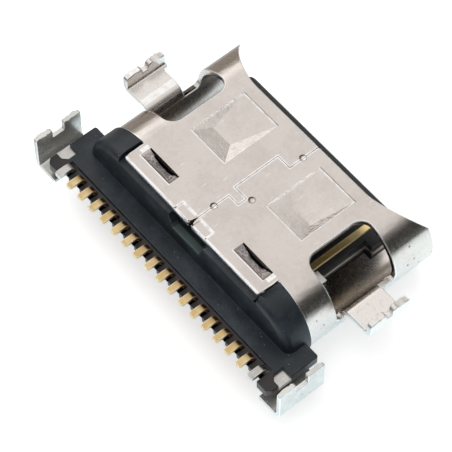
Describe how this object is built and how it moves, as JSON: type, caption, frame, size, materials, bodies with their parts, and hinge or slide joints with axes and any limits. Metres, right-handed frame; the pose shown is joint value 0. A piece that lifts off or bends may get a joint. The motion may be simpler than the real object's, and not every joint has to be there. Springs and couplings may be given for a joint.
{
  "type": "usb-c socket",
  "caption": "Mid-mount USB-C socket: stamped obround shell with folded tabs, black moulded body with collar and ledge, tongue with gold contacts, and upturned solder legs.",
  "frame": {"origin": "middle of the footprint, on the surface that the shell's flat side lies on", "axes": "+X across the socket, -Y out of the mouth, +Y towards the solder tails, +Z from the shell's flat side to the side that meets the board"},
  "size_m": [0.011, 0.0068, 0.003],
  "materials": {
    "shell_nickel": "satin nickel plating",
    "leg_nickel": "satin nickel plating",
    "plate_steel": "satin",
    "contact_gold": "gold plating",
    "black_plastic": "fine satin moulding",
    "tongue_plastic": "satin moulding"
  },
  "bodies": {
    "root": {"outer_shell": "shell_nickel", "insulator_body": "black_plastic", "tongue": "tongue_plastic", "middle_plate": "plate_steel", "leg_plate": "leg_nickel", "upper_shield": "plate_steel", "lower_shield": "plate_steel", "upper_contact_1": "contact_gold", "upper_contact_2": "contact_gold", "upper_contact_3": "contact_gold", "upper_contact_4": "contact_gold", "upper_contact_5": "contact_gold", "upper_contact_6": "contact_gold", "upper_contact_7": "contact_gold", "upper_contact_8": "contact_gold", "lower_contact_1": "contact_gold", "lower_contact_2": "contact_gold", "lower_contact_3": "contact_gold", "lower_contact_4": "contact_gold", "lower_contact_5": "contact_gold", "lower_contact_6": "contact_gold", "lower_contact_7": "contact_gold", "lower_contact_8": "contact_gold"}
  },
  "joints": []
}
